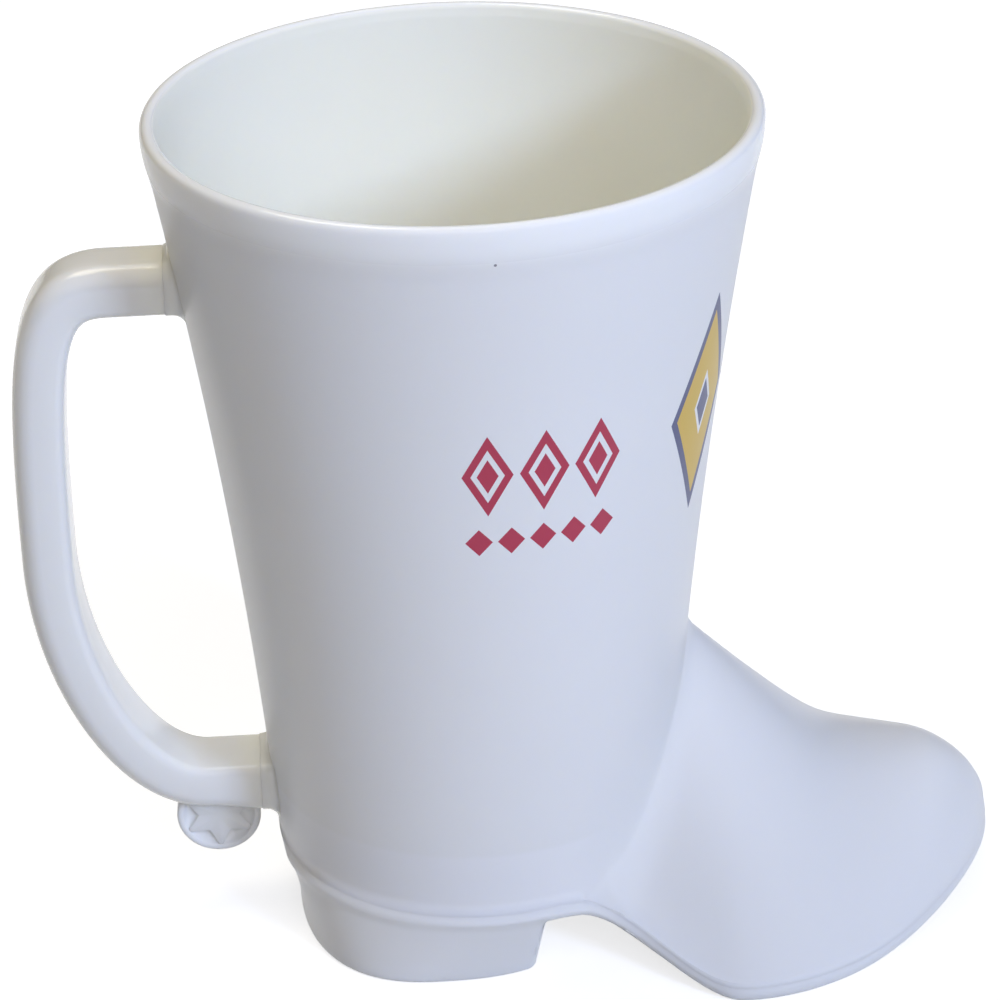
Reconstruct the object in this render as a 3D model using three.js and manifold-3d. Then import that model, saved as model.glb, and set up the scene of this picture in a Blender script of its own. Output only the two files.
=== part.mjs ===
// A boot-shaped plastic cup: a shaft and foot moulded as one shell, a sole with a hollow heel,
// a bar handle and a disc under it.
// Sizes are in millimetres. X runs from the heel to the toe and Z is up.
// The axis of the shaft meets the table at the origin.
import * as THREE from 'three';
import { mergeVertices } from 'three/addons/utils/BufferGeometryUtils.js';
import Module from 'manifold-3d';

const { clamp, lerp, smoothstep } = THREE.MathUtils;
const wasm = await Module();
wasm.setup();

// Shaft
const totalHeight = 148;
const rimRadius = 50.7;
const ankleRadius = 35;
const flareBow = 0.52; // share of the flare that bows outwards towards the rim
const wall = 2.2;
const lipThickness = 2.8;

// Foot, seen from above
const waistX = 20;
const waistFlare = 0.1; // sideways run of the outline per millimetre forward, just past the waist
const ballX = 43.5;
const ballHalfWidth = 43.7;
const toeReach = 91.7;
const toeTaper = 0.36; // how far the sides of the toe draw in: 0 is an ellipse

// Foot, seen from the side
const instepSlope = 0.98;
const instepEnd = 64.3;
const instepBlend = 4.2;
const toeTop = 25;
const domeLength = 18.6;
const crownRound = 0.125; // rounding of the ridge, as a share of the half width
const toeFullness = 1.54; // 1 is a straight-sided section, 2 an ellipse
const fullnessLead = 4;
const fullnessRun = 12;
const footEdge = 1.2;

// Sole and heel
const soleThickness = 2.4;
const weltProud = 0.6;
const weltRound = 0.8;
const heelHeight = 14.1;
const heelCentreX = -6.3;
const heelHalfLength = 27;
const heelHalfWidth = 34.1;
const heelEdgeRound = 1;
const heelWall = 2.6;
const breastX = 9.2;
const archStart = 10.9;
const archEnd = 37;
const springStart = 61.4;
const toeSpring = 5.5;
const tongueHeight = 13.4;
const tongueThickness = 1.6;

// Handle
const barThickness = 8.8;
const barWidth = 13.2;
const barRound = 2.8;
const upperArmZ = 120.4;
const lowerArmZ = 24.6;
const gripZ = 77;
const gripOut = 23.1; // from the end of the upper arm at the pad back to the middle of the grip
const upperArm = 9.5; // straight run of the upper arm
const lowerArm = 8.9;
const upperTurn = 9; // pull of the bend's start along the upper arm
const upperDrop = 34.6; // pull of the bend's end along the grip
const lowerDrop = 27.3;
const lowerTurn = 13.3;
const padProud = 2;
const padRim = 0.8;
const tenonShoulder = 1.8;
const socketDepth = 2.4;

// Disc under the handle
const discOut = 7.6; // from the end of the lower arm at the pad back to the middle of the disc
const discSeat = 3.95; // depth of the disc in the lower arm
const discRadius = 7.4;
const discThickness = 3.2;
const discRelief = 0.5;
const discRim = 1.2;
const starArms = 6;
const starWaist = 2.3;

// Fits
const seam = 0.3; // gap left for the weld between two mouldings

// Fineness of the curves
const roundSteps = 64;
const shaftSteps = 9;
const lipSteps = 6;
const crownSteps = 16;
const cornerSteps = 2;
const barSteps = 40;
const toeSteps = 13;
const flankSteps = 9;
const waistSteps = 3;
const ballSteps = 4;
const heelSteps = 14;
const tongueSteps = 3;
const nearBack = 0.03 * Math.PI; // the first section of the heel stands this far round its curve
const nearTip = 0.49 * Math.PI; // the last section of the toe stands this far round its curve

const xAxis = new THREE.Vector3(1, 0, 0);
const yAxis = new THREE.Vector3(0, 1, 0);
const zAxis = new THREE.Vector3(0, 0, 1);

const point = (x, y, z) => new THREE.Vector3(x, y, z);
const flat = (x, y) => new THREE.Vector2(x, y);

// Values spread evenly from start to end, both included.
function spread(start, end, steps) {
  return Array.from({ length: steps + 1 }, (_, k) => lerp(start, end, k / steps));
}

function solid(geometry) {
  const bare = geometry.index ? geometry.toNonIndexed() : geometry.clone();
  bare.deleteAttribute('normal');
  bare.deleteAttribute('uv');
  const welded = mergeVertices(bare);
  const vertProperties = welded.attributes.position.array;
  const triVerts = new Uint32Array(welded.index.array);
  return new wasm.Manifold(new wasm.Mesh({ numProp: 3, vertProperties, triVerts }));
}

function geometryOf(body) {
  const { vertProperties, triVerts } = body.getMesh();
  const geometry = new THREE.BufferGeometry();
  geometry.setAttribute('position', new THREE.BufferAttribute(new Float32Array(vertProperties), 3));
  geometry.setIndex(new THREE.BufferAttribute(new Uint32Array(triVerts), 1));
  geometry.computeVertexNormals();
  return geometry;
}

// Turned about the Z axis from a profile of (radius, height) points.
function turned(profile) {
  return solid(new THREE.LatheGeometry(profile, roundSteps).rotateX(Math.PI / 2));
}

// A rounded rectangle, wide along its first axis.
function roundedShape(width, height, radius) {
  const shape = new THREE.Shape();
  const x = width / 2 - radius;
  const y = height / 2 - radius;
  shape.absarc(x, y, radius, 0, Math.PI / 2);
  shape.absarc(-x, y, radius, Math.PI / 2, Math.PI);
  shape.absarc(-x, -y, radius, Math.PI, 1.5 * Math.PI);
  shape.absarc(x, -y, radius, 1.5 * Math.PI, 2 * Math.PI);
  return shape;
}

// A bar of rounded section along X, centred on the XZ plane.
function levelBar(width, height, radius, startX, endX, z) {
  const settings = { depth: endX - startX, bevelEnabled: false, curveSegments: cornerSteps };
  const bar = new THREE.ExtrudeGeometry(roundedShape(width, height, radius), settings);
  bar.applyMatrix4(new THREE.Matrix4().makeBasis(yAxis, zAxis, xAxis));
  return solid(bar.translate(startX, 0, z));
}

// Everything behind a plane across X, as a block large enough to cut any piece.
function behind(x) {
  const size = 4 * totalHeight;
  return solid(new THREE.BoxGeometry(size, size, size).translate(x - size / 2, 0, 0));
}

// A closed skin through a row of sections.
// Each is a loop that runs anticlockwise seen from the last section's side.
function loft(sections) {
  const count = sections[0].length;
  const last = (sections.length - 1) * count;
  const index = [];
  for (let start = 0; start < last; start += count) {
    for (let k = 0; k < count; k++) {
      const a = start + k;
      const b = start + ((k + 1) % count);
      index.push(a, b, b + count, a, b + count, a + count);
    }
  }
  for (let k = 1; k + 1 < count; k++) {
    index.push(0, k + 1, k, last, last + k, last + k + 1);
  }
  const geometry = new THREE.BufferGeometry().setFromPoints(sections.flat());
  geometry.setIndex(index);
  return solid(geometry);
}

// Shape of the shaft
function shaftRadius(z) {
  const rise = clamp((z - heelHeight) / (totalHeight - heelHeight), 0, 1);
  return ankleRadius + (rimRadius - ankleRadius) * rise * (1 - flareBow + flareBow * rise);
}

// Shape of the foot
function soleTop(x) {
  const arch = lerp(heelHeight, soleThickness, smoothstep(x, archStart, archEnd));
  const spring = clamp((x - springStart) / (toeReach - springStart), 0, 1);
  return arch + toeSpring * spring * spring;
}

// Half the width of the outline from above, grown outwards by a margin.
function outlineHalfWidth(x, grow) {
  const round = ankleRadius + grow;
  const ball = ballHalfWidth + grow;
  if (x < waistX) {
    return Math.sqrt(Math.max(round * round - x * x, 0));
  }
  if (x < ballX) {
    const waist = Math.sqrt(round * round - waistX * waistX);
    const run = ballX - waistX;
    const t = (x - waistX) / run;
    return lerp(waist, ball, smoothstep(t, 0, 1)) + waistFlare * run * t * (1 - t) * (1 - t);
  }
  const t = Math.min((x - ballX) / (toeReach + grow - ballX), 1);
  return ball * Math.sqrt(1 - t * t) * (1 - toeTaper * t * t);
}

function ridgeHeight(x, base, grow) {
  const run = instepSlope * (instepEnd - x);
  const crown = toeTop + grow + (run + Math.hypot(run, instepBlend)) / 2;
  const domeStart = toeReach - domeLength;
  const t = clamp((x - domeStart) / (domeLength + grow), 0, 1);
  return base + (crown - base) * Math.sqrt(1 - t * t);
}

// Height of a section of the foot at a share of its half width: 1 on the ridge and 0 at the edge.
function crownShare(side, fullness) {
  const reach = Math.hypot(1, crownRound) - crownRound;
  const fall = Math.min((Math.hypot(side, crownRound) - crownRound) / reach, 1);
  return (1 - fall ** fullness) ** (1 / fullness);
}

function footSection(x, grow, floor) {
  const half = outlineHalfWidth(x, grow);
  const base = soleTop(x) + seam + footEdge;
  const ridge = ridgeHeight(x, base, grow);
  const domeStart = toeReach - domeLength;
  const full = smoothstep(x, domeStart - fullnessLead, domeStart + fullnessRun);
  const fullness = lerp(1, toeFullness, full);
  const loop = [point(x, -half, floor), point(x, half, floor)];
  for (let k = 0; k <= crownSteps; k++) {
    const side = Math.cos((Math.PI * k) / crownSteps);
    loop.push(point(x, half * side, lerp(base, ridge, crownShare(side, fullness))));
  }
  return loop;
}

// Places of the sections from the ball to the tip of the toe, closer together round the toe.
function toeStations(grow) {
  const reach = toeReach + grow - ballX;
  const angles = spread(0, nearTip, toeSteps).slice(1);
  return angles.map((angle) => ballX + reach * Math.sin(angle));
}

function footStations(startX, grow) {
  const waist = spread(startX, waistX, waistSteps);
  const flank = spread(waistX, ballX, flankSteps).slice(1);
  return [...waist, ...flank, ...toeStations(grow)];
}

function footBody(grow, drop) {
  const stations = footStations(breastX, grow);
  return loft(stations.map((x) => footSection(x, grow, soleTop(x) + seam - drop)));
}

// Pads and sockets that carry the handle on the back of the shaft
const upperPadX = -(shaftRadius(upperArmZ) + padProud);
const lowerPadX = -(shaftRadius(lowerArmZ) + padProud);
const tenonThickness = barThickness - 2 * tenonShoulder;
const tenonWidth = barWidth - 2 * tenonShoulder;
const tenonRound = barRound - tenonShoulder / 2;

// Place of the disc, in a slot in the lower arm
const discX = lowerPadX - seam - discOut;
const discZ = lowerArmZ - barThickness / 2 + discSeat - discRadius;

function pad(faceX, z) {
  const backX = faceX + padProud + wall / 2;
  const width = barWidth + 2 * padRim;
  const height = barThickness + 2 * padRim;
  return levelBar(width, height, barRound + padRim, faceX, backX, z);
}

function tenon(faceX, z, fit) {
  const tipX = faceX + socketDepth - seam + fit;
  const startX = faceX - barThickness / 4;
  const width = tenonWidth + 2 * fit;
  const height = tenonThickness + 2 * fit;
  return levelBar(width, height, tenonRound + fit, startX, tipX, z);
}

function makeUpper() {
  const lip = lipThickness / 2;
  const heights = spread(heelHeight + seam, totalHeight - lip, shaftSteps);
  const profile = heights.map((z) => flat(shaftRadius(z), z));
  const lipX = rimRadius - lip;
  for (const angle of spread(0, Math.PI, lipSteps).slice(1)) {
    profile.push(flat(lipX + lip * Math.cos(angle), totalHeight - lip + lip * Math.sin(angle)));
  }
  for (const z of heights.slice(0, -1).reverse()) {
    profile.push(flat(shaftRadius(z) - wall, z));
  }
  profile.push(profile[0]);
  const shaft = turned(profile);

  // The shell of the foot stops halfway through the wall of the shaft, where the two are joined.
  const core = [flat(0, 0), flat(ankleRadius - wall / 2, 0)];
  for (const z of spread(heelHeight, totalHeight, shaftSteps)) {
    core.push(flat(shaftRadius(z) - wall / 2, z));
  }
  core.push(flat(0, totalHeight));
  const levelWall = wall * Math.SQRT2;
  const footHollow = footBody(-levelWall, heelHeight);
  const foot = footBody(0, 0).subtract(footHollow).subtract(turned(core));

  let upper = shaft.subtract(footHollow).add(foot);
  for (const [faceX, z] of [[upperPadX, upperArmZ], [lowerPadX, lowerArmZ]]) {
    upper = upper.add(pad(faceX, z)).subtract(tenon(faceX, z, seam));
  }
  return upper;
}

function soleSection(x) {
  const half = outlineHalfWidth(x, weltProud);
  const top = soleTop(x);
  const under = top - soleThickness;
  const round = Math.min(weltRound, half / 2);
  const inner = half - round;
  const side = [[inner, under], [half, under + round], [half, top - round], [inner, top]];
  const right = side.map(([y, z]) => point(x, y, z));
  const left = side.map(([y, z]) => point(x, -y, z)).reverse();
  return [...right, ...left];
}

// An oval at one height, used for the heel and its hollow.
function ovalLoop(z, centreX, halfLength, halfWidth) {
  return spread(0, 2 * Math.PI, roundSteps)
    .slice(1)
    .map((angle) => point(centreX + halfLength * Math.cos(angle), halfWidth * Math.sin(angle), z));
}

function makeSole() {
  const round = ankleRadius + weltProud;
  const back = spread(nearBack, Math.PI / 2, heelSteps).map((angle) => -round * Math.cos(angle));
  const breast = spread(0, archStart, waistSteps).slice(1);
  const waist = spread(archStart, waistX, waistSteps).slice(1);
  const arch = spread(waistX, archEnd, flankSteps).slice(1);
  const ball = spread(archEnd, ballX, ballSteps).slice(1);
  const stations = [...back, ...breast, ...waist, ...arch, ...ball, ...toeStations(weltProud)];
  const plate = loft(stations.map(soleSection));

  const plateMiddle = heelHeight - soleThickness / 2;
  const heel = loft([
    ovalLoop(0, heelCentreX, heelHalfLength - heelEdgeRound, heelHalfWidth - heelEdgeRound),
    ovalLoop(heelEdgeRound, heelCentreX, heelHalfLength, heelHalfWidth),
    ovalLoop(plateMiddle, 0, ankleRadius, ankleRadius),
  ]);
  const tongueTop = heelHeight + tongueHeight;
  const above = tongueTop + wall;
  const outside = (z) => shaftRadius(z) - wall - seam;
  const inside = (z) => outside(z) - tongueThickness;
  const rising = spread(heelHeight, tongueTop, tongueSteps);
  const profile = [flat(outside(heelHeight), plateMiddle)];
  profile.push(...rising.map((z) => flat(outside(z), z)));
  profile.push(...rising.reverse().map((z) => flat(inside(z), z)));
  profile.push(flat(inside(heelHeight), plateMiddle), profile[0]);
  const tongue = turned(profile);
  const hollow = loft([
    ovalLoop(wall, heelCentreX, heelHalfLength - heelWall, heelHalfWidth - heelWall),
    ovalLoop(plateMiddle, 0, inside(heelHeight), inside(heelHeight)),
    ovalLoop(above, 0, inside(heelHeight), inside(heelHeight)),
  ]);
  const tray = plate.add(heel.intersect(behind(breastX)));
  const opened = tray.subtract(hollow.intersect(behind(breastX - heelWall)));
  return opened.add(tongue.intersect(behind(archStart)));
}

function makeHandle() {
  const upperRoot = point(upperPadX - seam, 0, upperArmZ);
  const upperEnd = point(upperRoot.x - upperArm, 0, upperArmZ);
  const upperPull = point(upperEnd.x - upperTurn, 0, upperArmZ);
  const grip = point(upperRoot.x - gripOut, 0, gripZ);
  const gripUp = point(grip.x, 0, gripZ + upperDrop);
  const gripDown = point(grip.x, 0, gripZ - lowerDrop);
  const lowerRoot = point(lowerPadX - seam, 0, lowerArmZ);
  const lowerEnd = point(lowerRoot.x - lowerArm, 0, lowerArmZ);
  const lowerPull = point(lowerEnd.x - lowerTurn, 0, lowerArmZ);
  const path = new THREE.CurvePath();
  path.add(new THREE.LineCurve3(upperRoot, upperEnd));
  path.add(new THREE.CubicBezierCurve3(upperEnd, upperPull, gripUp, grip));
  path.add(new THREE.CubicBezierCurve3(grip, gripDown, lowerPull, lowerEnd));
  path.add(new THREE.LineCurve3(lowerEnd, lowerRoot));
  const section = roundedShape(barThickness, barWidth, barRound);
  const settings = { steps: barSteps, extrudePath: path, curveSegments: cornerSteps };
  const bar = new THREE.ExtrudeGeometry(section, settings);
  const tenons = tenon(upperPadX, upperArmZ, 0).add(tenon(lowerPadX, lowerArmZ, 0));
  const slotHalf = discThickness / 2 + seam;
  const slotRadius = discRadius + seam;
  const slot = new THREE.CylinderGeometry(slotRadius, slotRadius, 2 * slotHalf, roundSteps / 2);
  return solid(bar).add(tenons).subtract(solid(slot.translate(discX, 0, discZ)));
}

function makeDisc() {
  const half = discThickness / 2;
  const web = half - discRelief;
  const rimInside = discRadius - discRim;
  const profile = [
    flat(0, -web),
    flat(rimInside, -web),
    flat(rimInside, -half),
    flat(discRadius, -half),
    flat(discRadius, half),
    flat(rimInside, half),
    flat(rimInside, web),
    flat(0, web),
  ];
  const disc = new THREE.LatheGeometry(profile, roundSteps / 2).translate(discX, 0, discZ);
  const corners = spread(0, 2 * starArms - 1, 2 * starArms - 1).map((k) => {
    const radius = k % 2 ? starWaist : discRadius - discRim / 2;
    const angle = (Math.PI * k) / starArms;
    return flat(radius * Math.sin(angle), radius * Math.cos(angle));
  });
  const shape = new THREE.Shape(corners.reverse());
  const star = new THREE.ExtrudeGeometry(shape, { depth: discThickness, bevelEnabled: false });
  star.translate(0, 0, -half).rotateX(Math.PI / 2).translate(discX, 0, discZ);
  return solid(disc).add(solid(star));
}

const offWhite = '#eceeea';
const group = new THREE.Group();
for (const [name, body, roughness] of [
  ['boot_upper', makeUpper(), 0.28],
  ['sole_and_heel', makeSole(), 0.32],
  ['handle', makeHandle(), 0.25],
  ['spur_rowel', makeDisc(), 0.35],
]) {
  const material = new THREE.MeshStandardMaterial({ color: offWhite, roughness, metalness: 0 });
  const mesh = new THREE.Mesh(geometryOf(body), material);
  mesh.name = name;
  group.add(mesh);
}

export default group;
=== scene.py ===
import math

import bmesh
import bpy
from mathutils import Matrix, Vector


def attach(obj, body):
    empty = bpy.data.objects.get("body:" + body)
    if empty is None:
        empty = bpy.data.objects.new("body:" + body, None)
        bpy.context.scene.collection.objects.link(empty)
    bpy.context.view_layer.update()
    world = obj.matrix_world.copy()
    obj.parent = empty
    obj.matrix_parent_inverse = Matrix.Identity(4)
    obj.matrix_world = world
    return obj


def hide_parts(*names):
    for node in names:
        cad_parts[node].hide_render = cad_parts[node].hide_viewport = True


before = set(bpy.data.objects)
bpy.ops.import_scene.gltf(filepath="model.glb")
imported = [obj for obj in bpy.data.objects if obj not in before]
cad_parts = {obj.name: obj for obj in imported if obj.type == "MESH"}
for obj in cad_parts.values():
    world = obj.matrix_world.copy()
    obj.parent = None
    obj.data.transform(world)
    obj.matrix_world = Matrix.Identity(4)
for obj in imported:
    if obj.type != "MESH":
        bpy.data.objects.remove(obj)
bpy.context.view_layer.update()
print("frame loaded:", ", ".join(sorted(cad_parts)))

mm = 0.001  # the pieces are shaped in millimetres and scaled once, when they are finished
mergeGap = 0.001  # points of a mesh closer than this are one point
zAxis = Vector((0, 0, 1))
back = Vector((-1, 0, 0))  # towards the handle
halfTurn = math.pi
quarterTurn = math.pi / 2


def lerp(start, end, t):
    return start + (end - start) * t


def smoothstep(low, high, value):
    t = min(max((value - low) / (high - low), 0), 1)
    return t * t * (3 - 2 * t)


def spread(start, end, steps):  # even values from start to end, both included
    return [lerp(start, end, k / steps) for k in range(steps + 1)]


def evenPoints(points, steps):  # points at even distances along a line of many points
    travel = [0]
    for a, b in zip(points, points[1:]):
        travel.append(travel[-1] + (b - a).length)
    found = []
    k = 0
    for distance in spread(0, travel[-1], steps):
        while k < len(points) - 2 and travel[k + 1] < distance:
            k += 1
        span = travel[k + 1] - travel[k]
        found.append(points[k].lerp(points[k + 1], (distance - travel[k]) / span))
    return found


def halfSkin(columns):  # a grid laid on columns of points, mirrored across the XZ plane
    bm = bmesh.new()
    rows = len(columns[0])
    bmesh.ops.create_grid(bm, x_segments=len(columns) - 1, y_segments=rows - 1, size=1)
    bm.verts.ensure_lookup_table()
    for v in bm.verts:
        v.co = columns[v.index % len(columns)][v.index // len(columns)]
    bmesh.ops.remove_doubles(bm, verts=bm.verts, dist=mergeGap)
    bmesh.ops.mirror(bm, geom=bm.verts[:] + bm.edges[:] + bm.faces[:], merge_dist=mergeGap, axis="Y")
    bmesh.ops.remove_doubles(bm, verts=bm.verts, dist=mergeGap)
    bmesh.ops.dissolve_degenerate(bm, edges=bm.edges, dist=mergeGap / 2)
    bmesh.ops.recalc_face_normals(bm, faces=bm.faces)
    return bm


def addInto(bm, other):  # the second mesh joins the first
    carrier = bpy.data.meshes.new("carrier")
    other.to_mesh(carrier)
    other.free()
    bm.from_mesh(carrier)
    bpy.data.meshes.remove(carrier)


def finishPiece(bm, name, materials, node):
    bmesh.ops.scale(bm, vec=(mm, mm, mm), verts=bm.verts)
    mesh = bpy.data.meshes.new(name)
    bm.to_mesh(mesh)
    bm.free()
    mesh.shade_smooth()
    for material in materials:
        mesh.materials.append(material)
    obj = bpy.data.objects.new(name, mesh)
    bpy.context.scene.collection.objects.link(obj)
    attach(obj, "root")
    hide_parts(node)
    print("piece made:", name, len(mesh.polygons), "faces")


# Materials

def linearColour(hexText):
    values = [int(hexText[k:k + 2], 16) / 255 for k in (1, 3, 5)]
    linear = [v / 12.92 if v < 0.04045 else ((v + 0.055) / 1.055) ** 2.4 for v in values]
    return (*linear, 1)


def addNode(tree, kind, settings=None, links=None):
    node = tree.nodes.new(kind)
    for key, value in (settings or {}).items():
        if isinstance(key, str) and hasattr(node, key):
            setattr(node, key, value)
        else:
            node.inputs[key].default_value = value
    for key, source in (links or {}).items():
        tree.links.new(source, node.inputs[key])
    return node


# Polypropylene, injection moulded: a satin to glossy skin, milky depth and faint flow marks
polypropylene = {
    "ior": 1.49,
    "scatterDepth": 3.0,  # how far light spreads in the wall
    "scatterTint": (1, 0.9, 0.7),
    "flowLength": 38,
    "peelWidth": 1.6,  # waves of the skin, drawn coarser than the real ones so that they show
    "peelHeight": 0.004,
}


def startPlastic(name, look):
    material = bpy.data.materials.new(name)
    material.use_nodes = True
    tree = material.node_tree
    shader = tree.nodes["Principled BSDF"]
    shader.inputs["Roughness"].default_value = look["roughness"]
    shader.inputs["IOR"].default_value = polypropylene["ior"]
    shader.inputs["Subsurface Weight"].default_value = look["scatter"]
    shader.inputs["Subsurface Radius"].default_value = polypropylene["scatterTint"]
    shader.inputs["Subsurface Scale"].default_value = polypropylene["scatterDepth"] * mm
    place = addNode(tree, "ShaderNodeTexCoord")
    flow = addNode(tree, "ShaderNodeTexNoise",
                   {"Scale": 1 / (polypropylene["flowLength"] * mm), "Detail": 2},
                   {"Vector": place.outputs["Object"]})
    tint = addNode(tree, "ShaderNodeMix",
                   {"data_type": "RGBA", 6: linearColour(look["colour"]),
                    7: linearColour(look["flowColour"])},
                   {0: flow.outputs["Fac"]})
    peel = addNode(tree, "ShaderNodeTexNoise",
                   {"Scale": 1 / (polypropylene["peelWidth"] * mm), "Detail": 1},
                   {"Vector": place.outputs["Object"]})
    bump = addNode(tree, "ShaderNodeBump",
                   {"Strength": 1, "Distance": polypropylene["peelHeight"] * mm},
                   {"Height": peel.outputs["Fac"]})
    tree.links.new(bump.outputs["Normal"], shader.inputs["Normal"])
    return material, shader, place.outputs["Object"], tint.outputs[2]


# Pad-printed ink on the shaft: rows of flat lozenges, with rings where a ramp switches on and off
redRow = {"angle": -75.5, "height": 103, "radius": 43.5, "count": 3, "pitch": 9.2, "width": 8.2,
          "tall": 15, "ramp": [(0, 1), (0.42, 0), (0.66, 1), (1, 0)], "colour": "#b7304d"}
smallRow = {"angle": -75.5, "height": 90.5, "radius": 42, "count": 5, "pitch": 5.2, "width": 4.4,
            "tall": 5, "ramp": [(0, 1), (1, 0)], "colour": "#b7304d"}
goldRow = {"angle": 0, "height": 103, "radius": 43.5, "count": 3, "pitch": 22, "width": 20.5,
           "tall": 40, "ramp": [(0, 0), (0.3, 1), (0.84, 0)], "colour": "#d9b443"}
navyRow = {**goldRow, "ramp": [(0, 1), (0.22, 0), (0.84, 1), (1, 0)], "colour": "#4a5078"}


def lozengeMask(tree, x, y, z, row):
    angle = addNode(tree, "ShaderNodeMath", {"operation": "ARCTAN2"}, {0: y, 1: x})
    turn = addNode(tree, "ShaderNodeMath", {"operation": "SUBTRACT", 1: math.radians(row["angle"])},
                   {0: angle.outputs[0]})
    cell = addNode(tree, "ShaderNodeMath", {"operation": "MULTIPLY", 1: row["radius"] / row["pitch"]},
                   {0: turn.outputs[0]})
    reach = (row["count"] - 1) / 2
    nearest = addNode(tree, "ShaderNodeMath", {"operation": "ROUND"}, {0: cell.outputs[0]})
    least = addNode(tree, "ShaderNodeMath", {"operation": "MAXIMUM", 1: -reach}, {0: nearest.outputs[0]})
    held = addNode(tree, "ShaderNodeMath", {"operation": "MINIMUM", 1: reach}, {0: least.outputs[0]})
    aside = addNode(tree, "ShaderNodeMath", {"operation": "SUBTRACT"},
                    {0: cell.outputs[0], 1: held.outputs[0]})
    sideways = addNode(tree, "ShaderNodeMath", {"operation": "ABSOLUTE"}, {0: aside.outputs[0]})
    share = addNode(tree, "ShaderNodeMath",
                    {"operation": "MULTIPLY", 1: 2 * row["pitch"] / row["width"]},
                    {0: sideways.outputs[0]})
    lift = addNode(tree, "ShaderNodeMath", {"operation": "SUBTRACT", 1: row["height"] * mm}, {0: z})
    rise = addNode(tree, "ShaderNodeMath", {"operation": "ABSOLUTE"}, {0: lift.outputs[0]})
    away = addNode(tree, "ShaderNodeMath", {"operation": "MULTIPLY_ADD", 1: 2 / (row["tall"] * mm)},
                   {0: rise.outputs[0], 2: share.outputs[0]})
    ramp = addNode(tree, "ShaderNodeValToRGB", {}, {0: away.outputs[0]})
    ramp.color_ramp.interpolation = "CONSTANT"
    for k, (stop, value) in enumerate(row["ramp"]):
        element = ramp.color_ramp.elements[k] if k < 2 else ramp.color_ramp.elements.new(stop)
        element.position = stop
        element.color = (value, value, value, 1)
    return ramp.outputs["Color"]


outerFinish = {
    "colour": "#eeede9",
    "flowColour": "#ebeae5",
    "roughness": 0.36,
    "scatter": 0.3,
    "backingLightColour": "#efeeeb",  # painted light: the wall is painted lighter where the tongue of the sole backs it, standing in for light the tongue sends back through the thin wall
    "backedTop": 27.8,
    "backedEdge": 1.2,
    "backedFront": (14, 24),
    "lipLightColour": "#f8f7f0",  # painted light: the lip is painted lighter, standing in for light its thicker plastic sends back instead of letting through
    "lipEdge": 6,
    "lipRoughness": 0.2,  # and it is buffed smooth for drinking
    "speckPlace": (3.6, -49.4, 141.6),  # a burnt granule just under the rim
    "speckRadius": 0.3,
    "speckColour": "#8a878a",
}
# painted light: the inside is a lighter, warmer copy of the outside plastic, standing in for light
# bouncing round inside the cup
insideLightenedFinish = {"colour": "#f8f7ec", "flowColour": "#f6f4e5", "roughness": 0.3, "scatter": 0.4}
soleFinish = {"colour": "#eeede9", "flowColour": "#ebeae5", "roughness": 0.28, "scatter": 0.3}
handleFinish = {"colour": "#f2f1ec", "flowColour": "#efeee6", "roughness": 0.16, "scatter": 0.35,
                "rootLightColour": "#fcf9ea", "rootLightStart": 1, "rootLightLength": 6}
# painted light: the rowel is painted lighter than the rest, making up for the handle's shade it sits in
rowelLightenedFinish = {"colour": "#f7f7f3", "flowColour": "#f4f4ef", "roughness": 0.28, "scatter": 0.25}


def makeOuterPlastic():
    look = outerFinish
    material, shader, place, colour = startPlastic("mouldedPolypropyleneOutside", look)
    tree = material.node_tree
    axes = addNode(tree, "ShaderNodeSeparateXYZ", {}, {0: place})
    x, y, z = axes.outputs
    low = addNode(tree, "ShaderNodeMapRange",
                  {"interpolation_type": "SMOOTHSTEP", 1: (look["backedTop"] - look["backedEdge"]) * mm,
                   2: look["backedTop"] * mm, 3: 1, 4: 0}, {0: z})
    behind = addNode(tree, "ShaderNodeMapRange",
                     {"interpolation_type": "SMOOTHSTEP", 1: look["backedFront"][0] * mm,
                      2: look["backedFront"][1] * mm, 3: 1, 4: 0}, {0: x})
    both = addNode(tree, "ShaderNodeMath", {"operation": "MULTIPLY"},
                   {0: low.outputs[0], 1: behind.outputs[0]})
    # painted light: lighter low on the wall, where the sole's tongue backs it
    backingLightened = addNode(tree, "ShaderNodeMix",
                     {"data_type": "RGBA", 7: linearColour(look["backingLightColour"])},
                     {0: both.outputs[0], 6: colour})
    top = addNode(tree, "ShaderNodeMapRange",
                  {"interpolation_type": "SMOOTHSTEP", 1: (shaft["lipFull"] - look["lipEdge"]) * mm,
                   2: shaft["lipFull"] * mm}, {0: z})
    # painted light: the lip painted lighter towards the rim; its smoother roughness is real
    lipLightened = addNode(tree, "ShaderNodeMix",
                     {"data_type": "RGBA", 7: linearColour(look["lipLightColour"])},
                     {0: top.outputs[0], 6: backingLightened.outputs[2]})
    gloss = addNode(tree, "ShaderNodeMapRange",
                    {3: look["roughness"], 4: look["lipRoughness"]}, {0: top.outputs[0]})
    tree.links.new(gloss.outputs[0], shader.inputs["Roughness"])
    colour = lipLightened.outputs[2]
    for row in (redRow, smallRow, navyRow, goldRow):
        inked = addNode(tree, "ShaderNodeMix",
                        {"data_type": "RGBA", 7: linearColour(row["colour"])},
                        {0: lozengeMask(tree, x, y, z, row), 6: colour})
        colour = inked.outputs[2]
    away = addNode(tree, "ShaderNodeVectorMath",
                   {"operation": "DISTANCE", 1: Vector(look["speckPlace"]) * mm}, {0: place})
    near = addNode(tree, "ShaderNodeMath",
                   {"operation": "LESS_THAN", 1: look["speckRadius"] * mm},
                   {0: away.outputs["Value"]})
    specked = addNode(tree, "ShaderNodeMix",
                      {"data_type": "RGBA", 7: linearColour(look["speckColour"])},
                      {0: near.outputs[0], 6: colour})
    tree.links.new(specked.outputs[2], shader.inputs["Base Color"])
    return material


def makePlainPlastic(name, look):
    material, shader, place, colour = startPlastic(name, look)
    material.node_tree.links.new(colour, shader.inputs["Base Color"])
    return material


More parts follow.
